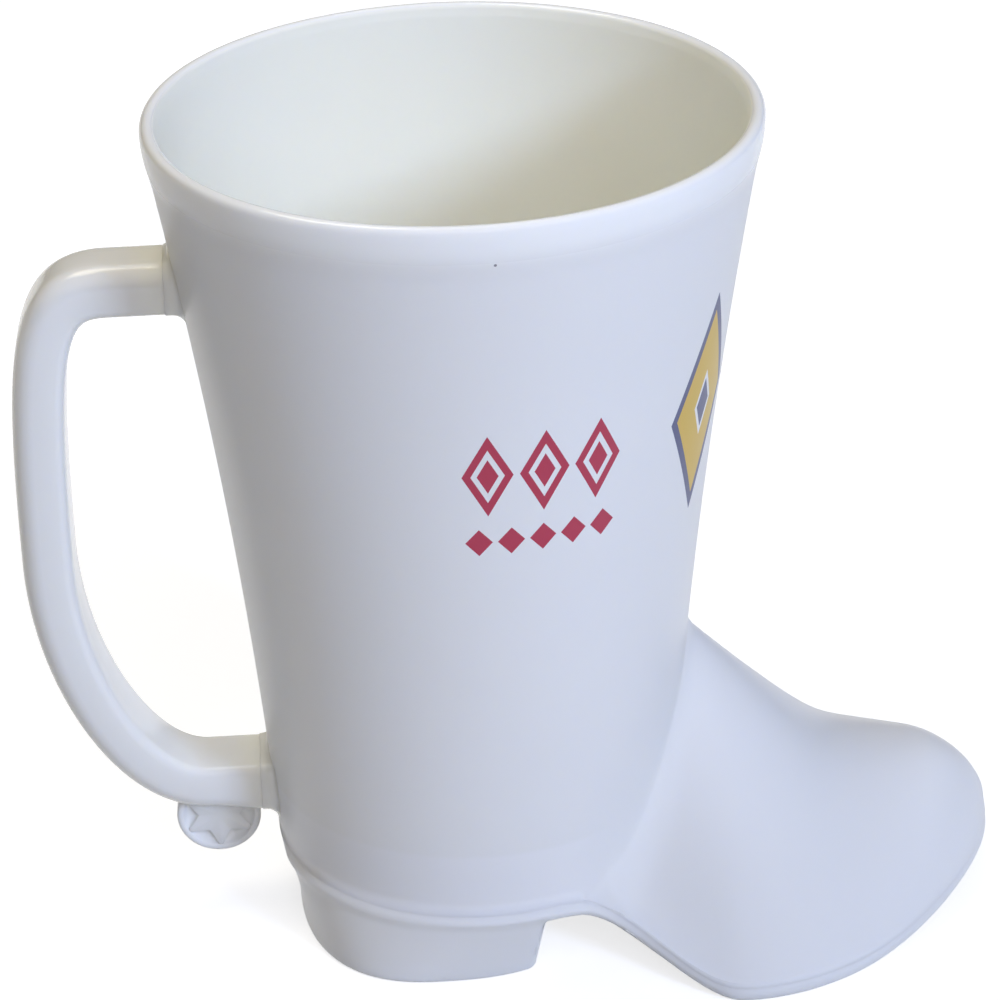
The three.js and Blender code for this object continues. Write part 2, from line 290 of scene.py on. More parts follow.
def makeHandlePlastic():  # painted light: the thick ends near the welds are painted lighter and yellower, standing in for light carried into them through the wall
    look = handleFinish
    material, shader, place, colour = startPlastic("mouldedPolypropyleneBar", look)
    tree = material.node_tree
    axes = addNode(tree, "ShaderNodeSeparateXYZ", {}, {0: place})
    across = addNode(tree, "ShaderNodeCombineXYZ", {}, {0: axes.outputs[0], 1: axes.outputs[1]})
    reach = addNode(tree, "ShaderNodeVectorMath", {"operation": "LENGTH"}, {0: across.outputs[0]})
    # the shaft widens upwards, so the distance from its surface is what counts
    slope = (shaft["rimRadius"] - shaft["ankleRadius"]) / (shaft["height"] - sole["heelHeight"])
    skinAt = addNode(tree, "ShaderNodeMath",
                     {"operation": "MULTIPLY_ADD", 1: -slope,
                      2: (sole["heelHeight"] * slope - shaft["ankleRadius"]) * mm},
                     {0: axes.outputs[2]})
    gap = addNode(tree, "ShaderNodeMath", {"operation": "ADD"},
                  {0: reach.outputs["Value"], 1: skinAt.outputs[0]})
    fade = addNode(tree, "ShaderNodeMapRange",
                   {"interpolation_type": "SMOOTHSTEP", 1: look["rootLightStart"] * mm,
                    2: (look["rootLightStart"] + look["rootLightLength"]) * mm, 3: 1, 4: 0},
                   {0: gap.outputs[0]})
    # painted light: lighter and yellower towards the welds
    rootLightened = addNode(tree, "ShaderNodeMix",
                     {"data_type": "RGBA", 7: linearColour(look["rootLightColour"])},
                     {0: fade.outputs[0], 6: colour})
    tree.links.new(rootLightened.outputs[2], shader.inputs["Base Color"])
    return material


# Upper: the shaft and the foot as one shell, standing on the top of the sole

shaft = {
    "height": 148,
    "rimRadius": 50.7,
    "ankleRadius": 35,
    "flareBow": 0.52,
    "wall": 2.2,
    "lipRadius": 50.5,
    "lipProud": 0.45,
    "lipFrom": 138.5,
    "lipFull": 144.8,
    "lipUpright": 146.2,
    "lipEase": 0.5,
    "lipThickness": 2.8,
    "taperFrom": 100,
    "lipRound": 1.2,
    "lipSegments": 6,
    "lipRows": [148, 146.2, 145.5, 144.8, 144.1, 143.4, 142.7,
                142, 141.2, 140.4, 139.5, 138.5, 137.4],
    "rows": 40,
    "backColumns": 56,
}
foot = {
    "waistX": 16.5,
    "waistFlare": -0.3,
    "ballX": 43.5,
    "ballHalfWidth": 43.7,
    "toeReach": 91.7,
    "toeTaper": 0.36,
    "instepSlope": 1.055,
    "instepEnd": 63.4,
    "instepBlend": 5.3,
    "toeTop": 23.4,
    "domeLength": 13.6,
    "sectionFrom": 20,
    "crown": (0.03, 0.97, 0.03),  # how broadly the top rounds over, from the waist to the toe
    "full": (0.73, 1.27),  # below 1 the flank is hollow, above 1 it is full
    "edge": 1.5,
    "edgeFrom": 8,  # the edge grows to its full height over this length from the waist
    "hem": 0.4,
    "creaseRound": 1.8,
    "creaseSide": 5,  # the crease opens out from the instep to the waist
    "creaseOpens": (0.1, 0.7),  # between these turns from the toe, in radians
    "creaseRows": 7,
    "settleTimes": 30,
    "flankRows": 46,
    "flankCrowding": 0.6,  # how far the rows draw together towards the edge
    "columns": 76,
    "outlineSteps": 300,
}
sole = {
    "thickness": 2.4,
    "weltStart": -0.08,  # the welt starts just inside the skin of the upper
    "weltFrom": 1,  # it swells out over this height and falls back below
    "weltTo": -0.6,
    "weltSide": 0.8,
    "weltToe": 0.15,
    "weltThins": (12, 42),  # from the side to the toe between these x
    "weltBack": -0.1,
    "weltSinks": (32.4, 34.9),  # and from the side to the back between these -x
    "weltBead": 0.35,  # how far it stands out from the wall of the heel
    "weltBeadShare": 0.16,  # and over what share of the wall's height
    "undercutToe": 0.8,
    "undercutArch": 2,
    "undercutGrows": (10, 26),
    "undercutEnds": (32, 44),
    "heelHeight": 14.1,
    "heelOval": {"centre": -7.5, "front": 30.2, "back": 24.4, "half": 33.1, "power": 2.5},
    "heelEdgeRound": 1,
    "heelWall": 2.6,
    "heelInsideRound": 1.6,
    "heelDraw": (1, 2),  # the wall goes from straight at the side to curved at the back
    "heelDrawn": (5, 32),
    "breastX": 10.2,
    "breastLean": 1.6,
    "breastRound": 2.2,
    "archNook": 1.8,
    "archStart": 10.9,
    "archEnd": 42,
    "springStart": 61.4,
    "toeSpring": 5.5,
    "tongueTop": 27.5,
    "tongueThickness": 1.6,
    "tongueRound": 0.4,
    "seam": 0.3,
    "frontColumns": 90,
    "cornerColumns": 6,
    "heelColumns": 50,
    "roundRows": 3,
    "wallRows": 4,
    "weltRows": 5,
    "edgeRows": 6,
    "archRows": 9,
}


def shaftRadius(z):
    rise = min(max((z - sole["heelHeight"]) / (shaft["height"] - sole["heelHeight"]), 0), 1)
    bow = shaft["flareBow"]
    flare = shaft["rimRadius"] - shaft["ankleRadius"]
    return shaft["ankleRadius"] + flare * rise * (1 - bow + bow * rise)


def outerRadius(z):  # the shaft with the lip round its rim, which eases into an upright wall
    bead = shaft["lipProud"] * smoothstep(shaft["lipFrom"], shaft["lipFull"], z)
    past = shaftRadius(min(z, shaft["lipUpright"])) + bead - shaft["lipRadius"]
    return shaft["lipRadius"] + (past - math.hypot(past, shaft["lipEase"])) / 2


def ankleAngle(x):  # where the circle of the ankle crosses x
    return math.acos(x / shaft["ankleRadius"])


def soleTop(x):
    arch = lerp(sole["heelHeight"], sole["thickness"], smoothstep(sole["archStart"], sole["archEnd"], x))
    spring = min(max((x - sole["springStart"]) / (foot["toeReach"] - sole["springStart"]), 0), 1)
    return arch + sole["toeSpring"] * spring * spring


def outlineHalfWidth(x):
    ball = foot["ballHalfWidth"]
    if x < foot["waistX"]:
        return math.sqrt(max(shaft["ankleRadius"] ** 2 - x * x, 0))
    if x < foot["ballX"]:
        waist = math.sqrt(shaft["ankleRadius"] ** 2 - foot["waistX"] ** 2)
        run = foot["ballX"] - foot["waistX"]
        t = (x - foot["waistX"]) / run
        return lerp(waist, ball, smoothstep(0, 1, t)) + foot["waistFlare"] * run * t * (1 - t) ** 2
    t = min((x - foot["ballX"]) / (foot["toeReach"] - foot["ballX"]), 1)
    return ball * math.sqrt(1 - t * t) * (1 - foot["toeTaper"] * t * t)


def footHeight(x, y):
    edge = lerp(foot["hem"], foot["edge"], smoothstep(0, foot["edgeFrom"], x - foot["waistX"]))
    base = soleTop(x) + edge
    run = foot["instepSlope"] * (foot["instepEnd"] - x)
    crest = foot["toeTop"] + (run + math.hypot(run, foot["instepBlend"])) / 2
    t = min(max((x - foot["toeReach"]) / foot["domeLength"] + 1, 0), 1)
    ridge = base + (crest - base) * math.sqrt(1 - t * t)
    u = min(max((x - foot["sectionFrom"]) / (foot["toeReach"] - foot["sectionFrom"]), 0), 1)
    first, middle, last = foot["crown"]
    crown = lerp(lerp(first, middle, u), lerp(middle, last, u), u)
    full = lerp(*foot["full"], smoothstep(0, 1, u))
    side = min(abs(y) / max(outlineHalfWidth(x), mergeGap), 1)
    fall = (math.hypot(side, crown) - crown) / (math.hypot(1, crown) - crown)
    return lerp(base, ridge, max(1 - fall ** full, 0) ** (1 / full))


def footOutline():  # half the outline, from the tip of the toe back to the waist
    steps = foot["outlineSteps"]
    length = foot["toeReach"] - foot["ballX"]
    toe = [foot["ballX"] + length * math.cos(a) for a in spread(0, quarterTurn, steps)]
    flank = spread(foot["ballX"], foot["waistX"], steps)[1:]
    return [Vector((x, outlineHalfWidth(x), 0)) for x in toe + flank]


def upperColumn(angle, edge):  # from the rim down the shaft and, ahead of the waist, over the foot
    way = Vector((math.cos(angle), math.sin(angle), 0))
    crease = lerp(foot["creaseRound"], foot["creaseSide"], smoothstep(*foot["creaseOpens"], angle))
    blend = 0
    low = soleTop(shaft["ankleRadius"] * way.x) + foot["hem"]
    root = way * shaftRadius(low)
    if edge:
        for k in range(foot["settleTimes"]):  # the foot's height and the shaft's radius meet
            root = way * shaftRadius(low)
            blend = min(crease, (edge - root).length / 2)
            low = footHeight(root.x, root.y) + blend
    heights = shaft["lipRows"] + spread(shaft["lipRows"][-1], low, shaft["rows"])[1:]
    points = [way * outerRadius(z) + zAxis * z for z in heights]
    end = edge or root
    length = (end - root).length
    begin = blend / length if length > 10 * mergeGap else 0
    shares = [begin * (1 - math.cos(a)) for a in spread(0, quarterTurn, foot["creaseRows"])[1:]]
    for u in spread(0, 1, foot["flankRows"])[1:]:
        shares.append(lerp(begin, 1, lerp(u, math.sin(quarterTurn * u), foot["flankCrowding"])))
    for t in shares:
        place = root.lerp(end, t)
        height = footHeight(place.x, place.y) if edge else low
        if t < begin:
            depth = 1 - t / begin
            height += blend * (1 - math.sqrt(1 - depth * depth))
        points.append(place + zAxis * height)
    points.append(end + zAxis * (soleTop(end.x) + foot["hem"]))
    points.append(end + zAxis * soleTop(end.x))
    return points


def makeUpper(materials):
    waist = ankleAngle(foot["waistX"])
    edges = evenPoints(footOutline(), foot["columns"])
    columns = [upperColumn(a, e) for a, e in zip(spread(0, waist, foot["columns"]), edges)]
    columns += [upperColumn(a, None) for a in spread(waist, halfTurn, shaft["backColumns"])[1:]]
    bm = halfSkin(columns)
    outerFaces = set(bm.faces)
    bmesh.ops.solidify(bm, geom=bm.faces[:], thickness=shaft["wall"])
    for v in bm.verts:  # the wall thickens towards the rim and is even inside
        reach = Vector((v.co.x, v.co.y, 0))
        if v.co.z > shaft["taperFrom"] and reach.length < outerRadius(v.co.z) - shaft["wall"] / 2:
            thickness = lerp(shaft["wall"], shaft["lipThickness"],
                             smoothstep(shaft["taperFrom"], shaft["lipFull"], v.co.z))
            v.co += reach.normalized() * (shaftRadius(v.co.z) - thickness - reach.length)
    for face in bm.faces:
        centre = face.calc_center_median()
        inward = face.normal.x * centre.x + face.normal.y * centre.y < 0
        face.material_index = 1 if face not in outerFaces and inward else 0
    rimEdges = []
    nearTop = 0.05
    sameRadius = 0.2
    for edge in bm.edges:  # the two circles of the rim, not the spokes between them
        a, b = [Vector((v.co.x, v.co.y, 0)).length for v in edge.verts]
        lowest = min(v.co.z for v in edge.verts)
        if lowest > shaft["height"] - nearTop and abs(a - b) < sameRadius:
            rimEdges.append(edge)
    bmesh.ops.bevel(bm, geom=rimEdges, offset=shaft["lipRound"], offset_type="OFFSET",
                    segments=shaft["lipSegments"], profile=0.5, affect="EDGES", material=-1)
    for z, outward in ((handle["upperZ"], 1), (handle["lowerZ"], -1)):
        padMesh = makePad(z, outward)
        for face in padMesh.faces:
            face.material_index = 2
        addInto(bm, padMesh)
    finishPiece(bm, "upperShell", materials, "boot_upper")


# Handle and the pads that carry it

handle = {
    "thickness": 8.8,
    "width": 13.2,
    "outerRound": 3.6,
    "outerSteps": 7,
    "innerRound": 1.7,
    "innerSteps": 5,
    "crown": 0.25,
    "upperZ": 120.4,
    "lowerZ": 24.6,
    "gripZ": 70,
    "gripOut": 23.05,
    "upperArm": 9.5,
    "lowerArm": 8.9,
    "upperTurn": 10.7,
    "upperDrop": 43.4,
    "lowerDrop": 22,
    "lowerTurn": 13.3,
    "rootDrop": 1.2,  # the lower arm is deeper at the boot
    "sink": 0.6,  # the ends run on into the pads, so no gap shows
    "armSteps": 8,
    "bendSteps": 44,
}
pad = {
    "proud": 2,
    "rim": 0.06,
    "edge": 0.1,
    "fillet": 1.8,
    "filletDip": 0.01,  # the fillet ends just under the skin of the shaft
    "filletRows": 6,
    "sink": 1.1,
}


def padFace(z):  # x of the face of the pad at this height
    return -shaftRadius(z) - pad["proud"]


def halfSection(thickness, width):  # half a rounded bar: outside first, then the inside
    top = thickness / 2
    side = width / 2
    outer = handle["outerRound"]
    inner = handle["innerRound"]
    points = [(top, 0), (top, (side - outer) / 2)]
    for a in spread(0, quarterTurn, handle["outerSteps"]):
        points.append((top - outer * (1 - math.cos(a)), side - outer * (1 - math.sin(a))))
    points.append(((inner - outer) / 2, side))
    for a in spread(0, quarterTurn, handle["innerSteps"]):
        points.append((inner * (1 - math.sin(a)) - top, side - inner * (1 - math.cos(a))))
    return points + [(-top, (side - inner) / 2), (-top, 0)]


def crowned(out, side):  # the faces of the bar bow outwards slightly
    outward = out * (1 - handle["crown"] / handle["thickness"] * (2 * side / handle["width"]) ** 2)
    sideways = side * (1 - handle["crown"] / handle["width"] * (2 * out / handle["thickness"]) ** 2)
    return outward, sideways


def bezier(p, t):
    u = 1 - t
    place = p[0] * u ** 3 + p[1] * 3 * u * u * t + p[2] * 3 * u * t * t + p[3] * t ** 3
    way = (p[1] - p[0]) * u * u + (p[2] - p[1]) * 2 * u * t + (p[3] - p[2]) * t * t
    return place, way.normalized()


def handlePath():
    upperRoot = Vector((padFace(handle["upperZ"]), 0, handle["upperZ"]))
    lowerRoot = Vector((padFace(handle["lowerZ"]), 0, handle["lowerZ"]))
    upperStart = upperRoot - back * handle["sink"]
    lowerStart = lowerRoot - back * handle["sink"]
    upperEnd = upperRoot + back * handle["upperArm"]
    lowerEnd = lowerRoot + back * handle["lowerArm"]
    grip = Vector((upperRoot.x - handle["gripOut"], 0, handle["gripZ"]))
    upperBend = [upperEnd, upperEnd + back * handle["upperTurn"],
                 grip + zAxis * handle["upperDrop"], grip]
    lowerBend = [grip, grip - zAxis * handle["lowerDrop"],
                 lowerEnd + back * handle["lowerTurn"], lowerEnd]
    armShares = spread(0, 1, handle["armSteps"])
    bendShares = spread(0, 1, handle["bendSteps"])[1:]
    stations = [(upperStart.lerp(upperEnd, t), back) for t in armShares]
    stations += [bezier(upperBend, t) for t in bendShares]
    stations += [bezier(lowerBend, t) for t in bendShares]
    stations += [(lowerEnd.lerp(lowerStart, t), -back) for t in armShares[1:]]
    return stations


def lowerDepth():
    return 1 + handle["rootDrop"] / (handle["thickness"] / 2)


def makeHandle(material):
    stations = handlePath()
    section = [crowned(*p) for p in halfSection(handle["thickness"], handle["width"])]
    rings = [(*stations[0], 0)]  # size 0 closes an end
    rings += [(place, way, 1) for place, way in stations]
    rings += [(*stations[-1], 0)]
    rootX = padFace(handle["lowerZ"])
    columns = []
    for out, side in section:
        column = []
        for place, way, size in rings:
            outward = Vector((way.z, 0, -way.x))  # away from the middle of the C
            deep = 1
            if out > 0 and place.z < handle["gripZ"]:
                deep = lerp(1, lowerDepth(), smoothstep(rootX - handle["lowerArm"], rootX, place.x))
            column.append(place + outward * out * deep * size + Vector((0, side * size, 0)))
        columns.append(column)
    finishPiece(halfSkin(columns), "handleBar", [material], "handle")


def makePad(z, outward):  # outward is 1 where the outside of the bar is on top, -1 where it is below
    faceX = padFace(z)
    middle = Vector((faceX, 0, z))
    section = halfSection(handle["thickness"] + 2 * pad["rim"], handle["width"] + 2 * pad["rim"])
    columns = []
    for out, side in section:
        deep = lowerDepth() if outward < 0 < out else 1
        lean = Vector((0, side, out * deep * outward))
        length = lean.length
        way = lean.normalized()
        column = [middle, middle + way * (length - pad["edge"])]
        column.append(Vector((faceX + pad["edge"], 0, z)) + way * length)
        for a in spread(0, quarterTurn, pad["filletRows"]):
            spot = lean + way * pad["fillet"] * (1 - math.cos(a))
            skinX = -math.sqrt(max(shaftRadius(z + spot.z) ** 2 - spot.y ** 2, 0))
            reach = pad["fillet"] * (1 - math.sin(a)) - pad["filletDip"]
            column.append(Vector((max(skinX - reach, faceX + pad["edge"]), spot.y, z + spot.z)))
        sunk = column[-1] - back * pad["sink"]
        column += [sunk, Vector((faceX + pad["proud"] + pad["sink"], 0, z))]
        columns.append(column)
    return halfSkin(columns)


# Sole and heel

def ovalPoint(oval, angle, z):
    across = math.cos(angle)
    reach = oval["front"] if across > 0 else oval["back"]
    x = oval["centre"] + math.copysign(abs(across) ** (2 / oval["power"]), across) * reach
    return Vector((x, oval["half"] * max(math.sin(angle), 0) ** (2 / oval["power"]), z))


def heelLoop(oval, frontX, z):  # half an oval cut off at the breast, one point for each column
    share = (frontX - oval["centre"]) / oval["front"]
    turn = math.acos(share ** (oval["power"] / 2))
    sideTurn = turn + sole["breastRound"] / oval["half"]
    corner = ovalPoint(oval, turn, z)
    sideStart = ovalPoint(oval, sideTurn, z)
    frontEnd = corner - Vector((0, sole["breastRound"], 0))
    middle = Vector((frontX, 0, z))
    points = [middle.lerp(frontEnd, t) for t in spread(0, 1, sole["frontColumns"])]
    for t in spread(0, 1, sole["cornerColumns"])[1:]:
        points.append(frontEnd.lerp(corner, t).lerp(corner.lerp(sideStart, t), t))
    points += [ovalPoint(oval, a, z) for a in spread(sideTurn, halfTurn, sole["heelColumns"])[1:]]
    return points


def roundOval(radius):
    return {"centre": 0, "front": radius, "back": radius, "half": radius, "power": 2}


def soleOutline():  # the edge of the upper, from the tip of the toe round to the back
    ankle = roundOval(shaft["ankleRadius"])
    waist = ankleAngle(foot["waistX"])
    breast = ankleAngle(sole["breastX"])
    span = sole["breastRound"] / shaft["ankleRadius"]
    front = footOutline()
    for a in spread(waist, breast - span, foot["outlineSteps"])[1:]:
        front.append(ovalPoint(ankle, a, 0))
    angles = spread(breast - span, breast + span, sole["cornerColumns"])[1:]
    angles += spread(breast + span, halfTurn, sole["heelColumns"])[1:]
    return evenPoints(front, sole["frontColumns"]) + [ovalPoint(ankle, a, 0) for a in angles]


def outlineWay(points, k):  # outward direction of the outline in the plane
    if k == 0:
        return -back
    along = (points[min(k + 1, len(points) - 1)] - points[k - 1]).normalized()
    return Vector((along.y, -along.x, 0))


def weltProud(x):
    if x > 0:
        return lerp(sole["weltSide"], sole["weltToe"], smoothstep(*sole["weltThins"], x))
    return lerp(sole["weltSide"], sole["weltBack"], smoothstep(*sole["weltSinks"], -x))


def towardsMiddle(point):
    way = Vector((sole["heelOval"]["centre"], 0, 0)) - Vector((point.x, point.y, 0))
    return way.normalized()


def heelInsideRows(floor, wallTop):  # from the middle of the heel's floor up its inner wall
    inward = towardsMiddle(floor)
    size = sole["heelInsideRound"]
    rows = [Vector((sole["heelOval"]["centre"], 0, floor.z)), floor + inward * size]
    for a in spread(0, quarterTurn, sole["roundRows"])[1:]:
        rows.append(floor + inward * size * (1 - math.sin(a)) + zAxis * size * (1 - math.cos(a)))
    return rows + [rows[-1].lerp(wallTop, t) for t in spread(0, 1, sole["wallRows"])[1:]]


def tongueRows(wallTop):  # the tongue stands up inside the upper
    outward = Vector((wallTop.x, wallTop.y, 0)).normalized()
    outside = -shaft["wall"] - sole["seam"]
    inside = outside - sole["tongueThickness"]
    top = sole["tongueTop"]
    heights = spread(sole["heelHeight"], top - sole["tongueRound"], sole["wallRows"])
    rows = [(inside, z) for z in heights[1:]]
    rows += [(lerp(inside, outside, 0.25), top), (lerp(inside, outside, 0.75), top)]
    rows += [(outside, z) for z in reversed(heights)]
    return [outward * (shaftRadius(z) + step) + zAxis * z for step, z in rows]


def shelfRows(wallTop, shelf):  # the top of the sole inside the foot, with as many rows as the tongue
    rows = []
    for t in spread(0, 1, 2 * sole["wallRows"] + 3)[1:]:
        spot = wallTop.lerp(shelf, t)
        rows.append(Vector((spot.x, spot.y, soleTop(spot.x))))
    return rows


def weltRows(edge, way, top):
    rows = []
    for t in spread(0, 1, sole["weltRows"]):
        out = lerp(sole["weltStart"], weltProud(edge.x), smoothstep(0, 1, t))
        rows.append(edge + way * out + zAxis * (top + lerp(sole["weltFrom"], sole["weltTo"], t)))
    return rows


def underRows(edge, way, top, breast, low):  # the sole's edge, its underside and the heel's breast
    proud = weltProud(edge.x)
    arch = smoothstep(*sole["undercutGrows"], edge.x) * (1 - smoothstep(*sole["undercutEnds"], edge.x))
    undercut = proud + lerp(sole["undercutToe"], sole["undercutArch"], arch)
    height = sole["thickness"] + sole["weltTo"]
    rows = []
    for a in spread(0, quarterTurn, sole["edgeRows"])[1:]:
        out = proud - undercut * (1 - math.cos(a))
        rows.append(edge + way * out + zAxis * (top + sole["weltTo"] - height * math.sin(a)))
    start = rows[-1]
    nook = min(sole["archNook"], (start - breast).length / 2)
    for t in spread(0, 1, sole["archRows"])[1:]:
        spot = start.lerp(breast - back * nook, t)
        rows.append(Vector((spot.x, spot.y, soleTop(spot.x) - sole["thickness"])))
    ahead = rows[-1]
    knee = Vector((breast.x, breast.y, ahead.z))
    below = knee - zAxis * nook
    for t in spread(0, 1, sole["wallRows"])[1:]:
        rows.append(ahead.lerp(knee, t).lerp(knee.lerp(below, t), t))
    return rows + [below.lerp(low, t) for t in spread(0, 1, sole["wallRows"])[1:]]


def heelWallRows(edge, way, top, low):  # the wall under the welt, with as many rows as the underside
    start = edge + way * (weltProud(edge.x) - sole["weltBead"]) + zAxis * (top + sole["weltTo"])
    draw = lerp(*sole["heelDraw"], smoothstep(*sole["heelDrawn"], -edge.x))
    rows = []
    for t in spread(0, 1, sole["edgeRows"] + sole["archRows"] + 2 * sole["wallRows"])[1:]:
        bead = sole["weltBead"] * (1 - smoothstep(0, sole["weltBeadShare"], t))
        spot = start.lerp(low, 1 - (1 - t) ** draw) + way * bead
        rows.append(Vector((spot.x, spot.y, lerp(start.z, low.z, t))))
    return rows


def makeSole(material):
    heelZ = sole["heelHeight"]
    oval = sole["heelOval"]
    thinner = {**oval, **{key: oval[key] - sole["heelWall"] for key in ("front", "back", "half")}}
    tongueInside = shaft["ankleRadius"] - shaft["wall"] - sole["seam"] - sole["tongueThickness"]
    insideX = sole["breastX"] - sole["heelWall"]
    size = sole["heelEdgeRound"]
    floorLoop = heelLoop(thinner, insideX, shaft["wall"])
    insideLoop = heelLoop(roundOval(tongueInside), insideX, heelZ)
    breastLoop = heelLoop(roundOval(shaft["ankleRadius"]), sole["breastX"], heelZ - sole["thickness"])
    lowLoop = heelLoop(oval, sole["breastX"] - sole["breastLean"], size)
    middle = Vector((oval["centre"], 0, 0))
    outline = soleOutline()
    columns = []
    for k, edge in enumerate(outline):
        way = outlineWay(outline, k)
        top = soleTop(edge.x)
        isHeel = k > sole["frontColumns"] + sole["cornerColumns"] // 2
        low = lowLoop[k]
        column = heelInsideRows(floorLoop[k], insideLoop[k])
        if isHeel:
            column += tongueRows(insideLoop[k])
        else:
            column += shelfRows(insideLoop[k], edge - way * (shaft["wall"] + sole["seam"]))
        column += weltRows(edge, way, top)
        if isHeel:
            column += heelWallRows(edge, way, top, low)
        else:
            column += underRows(edge, way, top, breastLoop[k], low)
        inward = towardsMiddle(low)
        for a in spread(0, quarterTurn, sole["wallRows"])[1:]:
            column.append(low + inward * size * (1 - math.cos(a)) - zAxis * size * math.sin(a))
        column += [column[-1].lerp(middle, 0.5), middle]
        columns.append(column)
    finishPiece(halfSkin(columns), "soleAndHeel", [material], "sole_and_heel")


# Spur rowel: a small disc with a raised rim and a raised star on both faces

rowel = {
    "out": 7.6,
    "seat": 3.95,
    "radius": 7.4,
    "thickness": 3.2,
    "relief": 0.6,
    "rim": 1.2,
    "arms": 6,
    "starWaist": 3.7,
    "starGap": 0.02,  # the star's points stop this far inside the rim
    "edge": 0.3,
    "columnsPerArm": 20,
}


def makeRowel(material):
    armUnder = handle["lowerZ"] - handle["thickness"] / 2
    centre = Vector((padFace(handle["lowerZ"]) - sole["seam"] - rowel["out"], 0,
                     armUnder + rowel["seat"] - rowel["radius"]))
    radius = rowel["radius"]
    half = rowel["thickness"] / 2
    web = half - rowel["relief"]
    soft = rowel["edge"]
    rimIn = radius - rowel["rim"]
    tip = radius - rowel["rim"] / 2
    waist = rowel["starWaist"]
    armTurn = halfTurn / rowel["arms"]
    columns = []
    for angle in spread(0, 2 * halfTurn, rowel["arms"] * rowel["columnsPerArm"]):
        turn = angle % (2 * armTurn)
        turn = min(turn, 2 * armTurn - turn)
        across = tip * math.sin(turn) + waist * math.sin(armTurn - turn)
        star = min(tip * waist * math.sin(armTurn) / across, rimIn - rowel["starGap"])
        profile = [(0, half), (star - soft, half), (star, half - soft / 2)]
        profile += [(min(star + soft / 2, rimIn), web), (rimIn - rowel["starGap"] / 2, web)]
        profile += [(rimIn, half - soft / 2), (rimIn + soft, half)]
        profile += [(radius - soft, half), (radius, half - soft), (radius, 0)]
        way = Vector((math.sin(angle), 0, math.cos(angle)))
        columns.append([centre + way * reach + Vector((0, out, 0)) for reach, out in profile])
    finishPiece(halfSkin(columns), "spurRowelDisc", [material], "spur_rowel")


outerPlastic = makeOuterPlastic()
insideLightenedPlastic = makePlainPlastic("mouldedPolypropyleneInsideLightened", insideLightenedFinish)
barPlastic = makeHandlePlastic()
solePlastic = makePlainPlastic("mouldedPolypropyleneSole", soleFinish)
rowelPlastic = makePlainPlastic("mouldedPolypropyleneRowel", rowelLightenedFinish)
print("materials made")
makeUpper([outerPlastic, insideLightenedPlastic, barPlastic])
makeSole(solePlastic)
makeHandle(barPlastic)
makeRowel(rowelPlastic)

# Floor, light and camera

stage = {
    "floorSize": 6,
    "floorColour": "#bcbcbc",
    "floorRoughness": 0.8,
    "floorSheen": 0.1,
    "floorLift": 0.72,  # light of its own that brings the seen floor up to white
    "worldColour": "#fff2e0",
    "worldLight": 0.02,
    "seenColour": "#ffffff",
}


def makeFloor():
    bm = bmesh.new()
    bmesh.ops.create_grid(bm, x_segments=1, y_segments=1, size=stage["floorSize"] / 2)
    mesh = bpy.data.meshes.new("floor")
    bm.to_mesh(mesh)
    bm.free()
    floor = bpy.data.objects.new("floor", mesh)
    bpy.context.scene.collection.objects.link(floor)
    material = bpy.data.materials.new("paleFloor")
    material.use_nodes = True
    tree = material.node_tree
    shader = tree.nodes["Principled BSDF"]
    shader.inputs["Base Color"].default_value = linearColour(stage["floorColour"])
    shader.inputs["Roughness"].default_value = stage["floorRoughness"]
    shader.inputs["Specular IOR Level"].default_value = stage["floorSheen"]
    shader.inputs["Emission Color"].default_value = linearColour(stage["seenColour"])
    rays = addNode(tree, "ShaderNodeLightPath")
    seen = addNode(tree, "ShaderNodeMath", {"operation": "MAXIMUM"},
                   {0: rays.outputs["Is Camera Ray"], 1: rays.outputs["Is Glossy Ray"]})
    either = addNode(tree, "ShaderNodeMath", {"operation": "MAXIMUM"},
                     {0: seen.outputs[0], 1: rays.outputs["Is Transmission Ray"]})
    lift = addNode(tree, "ShaderNodeMath", {"operation": "MULTIPLY", 1: stage["floorLift"]},
                   {0: either.outputs[0]})
    tree.links.new(lift.outputs[0], shader.inputs["Emission Strength"])
    mesh.materials.append(material)


def makeWorld():
    world = bpy.data.worlds.new("softRoom")
    bpy.context.scene.world = world
    world.use_nodes = True
    tree = world.node_tree
    room = tree.nodes["Background"]
    room.inputs["Color"].default_value = linearColour(stage["worldColour"])
    room.inputs["Strength"].default_value = stage["worldLight"]
    white = addNode(tree, "ShaderNodeBackground",
                    {"Strength": 1, "Color": linearColour(stage["seenColour"])})
    rays = addNode(tree, "ShaderNodeLightPath")
    mix = addNode(tree, "ShaderNodeMixShader", {},
                  {0: rays.outputs["Is Camera Ray"], 1: room.outputs[0], 2: white.outputs[0]})
    tree.links.new(mix.outputs[0], tree.nodes["World Output"].inputs["Surface"])


lamps = [
    {"name": "window", "azimuth": -52, "elevation": 25, "distance": 1.4, "size": 0.24, "power": 10.3,
     "colour": "#c0d5ff", "mirrored": False},
    {"name": "skylight", "azimuth": -76, "elevation": 42, "distance": 1.4, "size": 1.3, "power": 10.3,
     "colour": "#f3f2ff", "mirrored": False},
    {"name": "leftLamp", "azimuth": 155, "elevation": 70, "distance": 1.2, "size": 0.5, "power": 4.8,
     "colour": "#fff6de", "mirrored": True},
    {"name": "backLamp", "azimuth": 90, "elevation": 66, "distance": 1.2, "size": 0.5, "power": 1.9,
     "colour": "#eaf0ff", "mirrored": True},
    {"name": "farFill", "azimuth": 88, "elevation": 9, "distance": 1.4, "size": 0.5, "power": 6,
     "colour": "#f3f4ff", "mirrored": False},
]


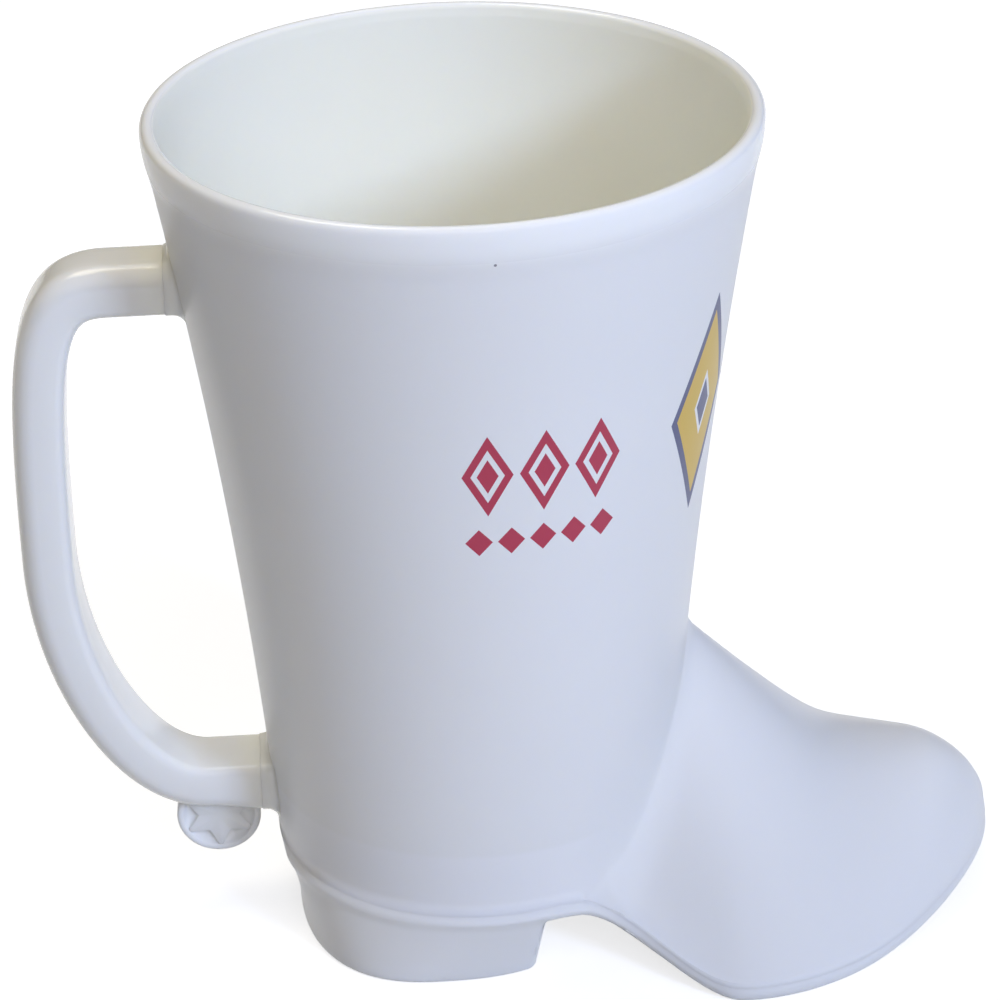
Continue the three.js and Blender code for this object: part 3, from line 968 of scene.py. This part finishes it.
def makeLamps():  # azimuth runs anticlockwise from +X seen from above
    aim = Vector((0, 0, shaft["height"] / 2)) * mm
    for lamp in lamps:
        light = bpy.data.lights.new(lamp["name"], "AREA")
        light.shape = "SQUARE"
        light.size = lamp["size"]
        light.energy = lamp["power"]
        light.color = linearColour(lamp["colour"])[:3]
        a = math.radians(lamp["azimuth"])
        e = math.radians(lamp["elevation"])
        way = Vector((math.cos(a) * math.cos(e), math.sin(a) * math.cos(e), math.sin(e)))
        obj = bpy.data.objects.new(lamp["name"], light)
        obj.visible_glossy = lamp["mirrored"]  # the others leave no bright patch on the plastic
        obj.location = aim + way * lamp["distance"]
        obj.rotation_euler = (-way).to_track_quat("-Z", "Y").to_euler()
        bpy.context.scene.collection.objects.link(obj)


view = {
    "target": (0, 0, 75),
    "distance": 600,
    "nearest": 10,
    "azimuth": -2.447,
    "elevation": 27.79,
    "roll": -1.92,
    "sensor": 36,
    "imageSize": 1000,  # this and the next three are in pixels
    "focalPixels": 3518,
    "centreX": 465.1,
    "centreY": 506.8,
}


def makeCamera():
    data = bpy.data.cameras.new("photoCamera")
    data.sensor_width = view["sensor"]
    data.lens = view["focalPixels"] * view["sensor"] / view["imageSize"]
    data.shift_x = 0.5 - view["centreX"] / view["imageSize"]
    data.shift_y = view["centreY"] / view["imageSize"] - 0.5
    data.clip_start = view["nearest"] * mm
    camera = bpy.data.objects.new("photoCamera", data)
    target = Matrix.Translation(Vector(view["target"]) * mm)
    turn = Matrix.Rotation(math.radians(view["azimuth"]), 4, "Z")
    tilt = Matrix.Rotation(math.radians(90 - view["elevation"]), 4, "X")
    roll = Matrix.Rotation(math.radians(view["roll"]), 4, "Z")
    away = Matrix.Translation((0, 0, view["distance"] * mm))
    camera.matrix_world = target @ turn @ tilt @ away @ roll
    bpy.context.scene.collection.objects.link(camera)
    bpy.context.scene.camera = camera


makeFloor()
makeWorld()
makeLamps()
makeCamera()
bpy.context.scene.view_settings.view_transform = "Standard"
print("stage, lamps and camera made")
